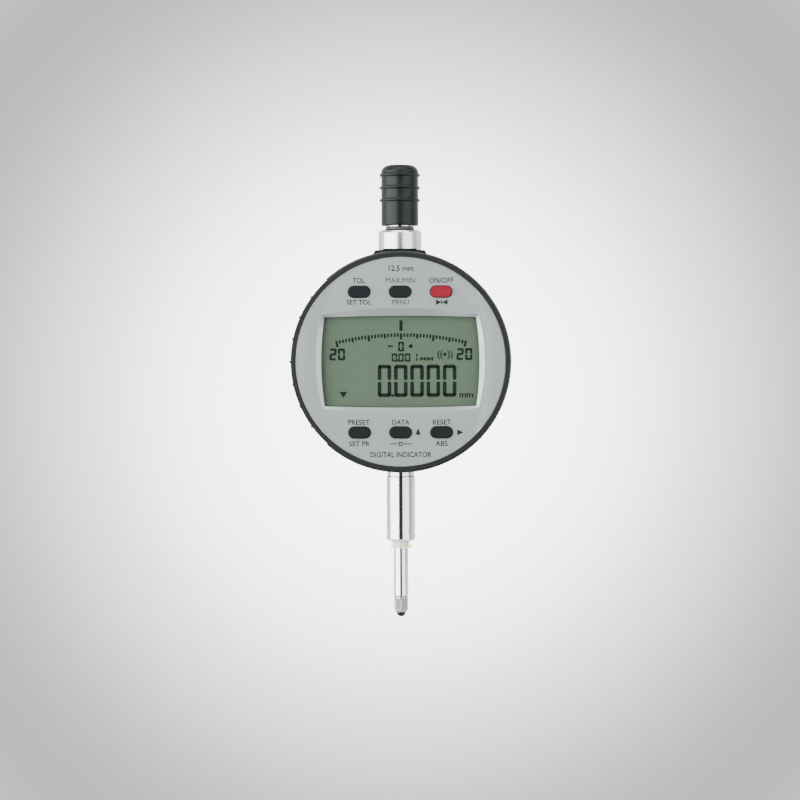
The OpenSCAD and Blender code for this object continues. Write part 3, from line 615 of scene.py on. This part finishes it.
def bars(name, marks, y, thickness, corner=0.18):
    """Flat marks in one mesh. Each is (x, z, width, height, degrees clockwise), in mm from the centre."""
    bpy.ops.object.select_all(action="DESELECT")
    bpy.ops.mesh.primitive_plane_add(size=mm, location=(0, 0, 0))
    piece = bpy.context.object
    piece.name = name
    bpy.ops.object.mode_set(mode="EDIT")
    bpy.ops.mesh.delete(type="VERT")
    for x, z, width, height, turn in marks:
        bpy.ops.mesh.primitive_plane_add(size=mm, location=(0, 0, 0))
        bpy.ops.transform.resize(value=(width, height, 1), center_override=(0, 0, 0))
        bpy.ops.mesh.bevel(offset=min(width, height) * corner * mm, affect="VERTICES", segments=2)
        bpy.ops.transform.rotate(value=math.radians(turn), orient_axis="Z", center_override=(0, 0, 0))
        bpy.ops.transform.translate(value=(x * mm, z * mm, 0))
        bpy.ops.mesh.select_all(action="DESELECT")
    bpy.ops.object.mode_set(mode="OBJECT")
    return raised(piece, y, thickness)


def raised(piece, y, thickness):
    """Stands a flat drawing up to face the reader, thickens it towards them and puts it at depth y."""
    bpy.ops.object.select_all(action="DESELECT")
    bpy.context.view_layer.objects.active = piece
    piece.select_set(True)
    modifier = piece.modifiers.new("thickness", "SOLIDIFY")
    modifier.thickness = thickness
    modifier.offset = 1
    bpy.ops.object.modifier_apply(modifier=modifier.name)
    piece.rotation_euler = (math.radians(90), 0, 0)
    piece.location = (0, y, head_z)
    bpy.ops.object.transform_apply(location=True, rotation=True, scale=True)
    return piece


segments_lit = {"0": "abcdef", "2": "abged"}


def seven_segment(digit, x, z, width, height, stroke, gap):
    """The bars of one seven-segment figure whose middle is x, z."""
    w, h = width / 2 - stroke / 2, height / 4
    tall, wide = height / 2 - gap, width - stroke * 0.7
    top = 2 * h - stroke / 2
    place = {"a": (0, top, wide, stroke), "d": (0, -top, wide, stroke), "g": (0, 0, wide, stroke),
             "b": (w, h, stroke, tall), "c": (w, -h, stroke, tall),
             "f": (-w, h, stroke, tall), "e": (-w, -h, stroke, tall)}
    return [(x + place[s][0], z + place[s][1], place[s][2], place[s][3], 0) for s in segments_lit[digit]]


marks = []
big_pitch = 4.44
for k in range(5):
    marks += seven_segment("0", -4.35 + k * big_pitch, -5.25, 3.7, 8.8, 1.0, 0.5)
marks.append((-2.13, -9.25, 0.7, 0.7, 0))
for left, right in ((-18.35, -16.05), (16.3, 18.65)):
    marks += seven_segment("2", left, 2.0, 1.95, 3.25, 0.6, 0.2)
    marks += seven_segment("0", right, 2.0, 1.95, 3.25, 0.6, 0.2)
marks += seven_segment("0", 0.2, 4.1, 1.6, 2.65, 0.5, 0.1)
for x in (-1.6, 0.2, 2.0):
    marks += seven_segment("0", x, 1.1, 1.5, 2.25, 0.44, 0.1)
marks += [(-0.7, 0.2, 0.36, 0.36, 0), (4.5, 1.7, 0.42, 0.85, 0), (4.5, 0.6, 0.42, 0.85, 0)]
marks += [(-2.75, 4.2, 1.4, 0.45, 0), (2.85, 4.2, 1.2, 0.45, 0), (2.85, 4.2, 0.45, 1.2, 0)]
marks += [(0.2, 9.8, 0.9, 2.95, 0), (12.15, 1.95, 0.85, 0.85, 45)]
scale_r, scale_top, scale_span, scale_half = 77.8, 7.75, 13.15, 20
for n in range(-scale_half, scale_half + 1):
    length, width = (1.75, 0.62) if n % 10 == 0 else (1.35, 0.58) if n % 5 == 0 else (1.0, 0.52)
    turn = scale_span * n / scale_half
    reach, angle = scale_r - length / 2, math.radians(turn)
    x, z = 0.2 + reach * math.sin(angle), scale_top - scale_r + reach * math.cos(angle)
    marks.append((x, z, width, length, turn))
lcd_figures = bars("lcd_figures", marks, ink_y, ink_t, 0.3)


def words(name, lines, y, thickness, weight):
    """Words in one mesh. Each is (text, x, z, height of its capitals, width factor), in millimetres."""
    pieces = []
    for text, x, z, height, stretch in lines:
        bpy.ops.object.select_all(action="DESELECT")
        bpy.ops.object.text_add(location=(0, 0, 0))
        word = bpy.context.object
        word.data.body = text
        word.data.size = height * mm / 0.7
        word.data.align_x = "CENTER"
        word.data.align_y = "CENTER"
        word.data.offset = 0 if "M" in text else weight * mm
        word.data.resolution_u = 3
        bpy.ops.object.convert(target="MESH")
        word = bpy.context.object
        word.scale = (stretch, 1, 1)
        word.location = (x * mm, z * mm, 0)
        bpy.ops.object.transform_apply(location=True, rotation=True, scale=True)
        pieces.append(word)
    bpy.ops.object.select_all(action="DESELECT")
    for piece in pieces:
        piece.select_set(True)
    bpy.context.view_layer.objects.active = pieces[0]
    bpy.ops.object.join()
    piece = bpy.context.object
    piece.name = name
    return raised(piece, y, thickness)


def arrowheads(name, places, y, thickness):
    """Filled arrowheads. Each is (x, z, half its width, half its height, degrees clockwise from up)."""
    bpy.ops.object.select_all(action="DESELECT")
    bpy.ops.mesh.primitive_circle_add(vertices=3, radius=mm, fill_type="NGON", location=(0, 0, 0))
    piece = bpy.context.object
    piece.name = name
    bpy.ops.object.mode_set(mode="EDIT")
    bpy.ops.mesh.delete(type="VERT")
    for x, z, half_width, half_height, turn in places:
        bpy.ops.mesh.primitive_circle_add(vertices=3, radius=mm, fill_type="NGON", location=(0, 0, 0))
        bpy.ops.transform.resize(value=(half_width / 0.866, half_height / 0.75, 1), center_override=(0, 0, 0))
        bpy.ops.transform.rotate(value=math.radians(turn), orient_axis="Z", center_override=(0, 0, 0))
        bpy.ops.transform.translate(value=(x * mm, z * mm, 0))
        bpy.ops.mesh.select_all(action="DESELECT")
    bpy.ops.object.mode_set(mode="OBJECT")
    return raised(piece, y, thickness)


lcd_words = words("lcd_words", [
    ("mm", 17.95, -9.1, 1.6, 1.12), ("((", 10.75, 1.95, 1.8, 0.95), ("))", 13.6, 1.95, 1.8, 0.95)],
    ink_y, ink_t, 0.05)
lcd_arrows = arrowheads("lcd_arrows", [
    (-15.6, -8.75, 1.05, 0.85, 180), (5.75, 0.75, 0.62, 0.5, 90), (6.7, 0.75, 0.62, 0.5, -90),
    (7.65, 0.75, 0.62, 0.5, 90), (8.6, 0.75, 0.62, 0.5, -90)], ink_y, ink_t)
lcd_ink = finish("lcd_ink", (0.005, 0.012, 0.008), 0.5, grain=(2000, 2000, 2000), bump=0.02, specular=0.1)
for piece in (lcd_figures, lcd_words, lcd_arrows):
    piece.data.materials.clear()
    piece.data.materials.append(lcd_ink)
    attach(piece, "display")

# ---- Printing on the face ----
# Screen-printed function words and signs in dark grey ink, over and under the keys.
print_y = band_y - 0.005 * mm
print_t = 0.012 * mm
face_words = words("face_words", [
    ("TOL", -11.25, 22.0, 1.4, 0.84), ("MAX/MIN", 0.05, 22.0, 1.4, 0.96), ("ON/OFF", 11.15, 22.0, 1.4, 0.92),
    ("SET TOL", -11.2, 16.1, 1.3, 0.96), ("MENU", 0.1, 16.1, 1.3, 0.94),
    ("PRESET", -11.35, -16.55, 1.35, 0.98), ("DATA", 0, -16.55, 1.35, 0.92),
    ("RESET", 11.2, -16.55, 1.35, 0.99),
    ("SET PR", -11.25, -22.35, 1.3, 1.02), ("ABS", 11.15, -22.35, 1.3, 1.05),
    ("12.5 mm", 0.1, 25.3, 1.5, 0.95), ("DIGITAL INDICATOR", 0, -25.35, 1.4, 0.88)],
    print_y, print_t, 0.03)
face_arrows = arrowheads("face_arrows", [
    (4.75, -19.25, 0.7, 0.95, 0), (15.95, -19.3, 0.8, 0.85, 90), (10.25, 16.1, 0.75, 0.75, 90),
    (12.4, 16.1, 0.75, 0.75, -90)], print_y, print_t)
face_signs = bars("face_signs", [
    (11.325, 16.1, 0.34, 1.1, 0), (-1.85, -22.35, 2.2, 0.26, 0), (1.85, -22.35, 2.2, 0.26, 0),
    (0, -21.95, 1.0, 0.26, 0), (0, -22.75, 1.0, 0.26, 0),
    (-0.42, -22.35, 0.26, 0.95, 0), (0.42, -22.35, 0.26, 0.95, 0)],
    print_y, print_t)
print_ink = finish("print_ink", (0.008, 0.012, 0.012), 0.6, grain=(3000, 3000, 3000), bump=0.1, specular=0.15)
for piece in (face_words, face_arrows, face_signs):
    piece.data.materials.clear()
    piece.data.materials.append(print_ink)
    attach(piece, "display")
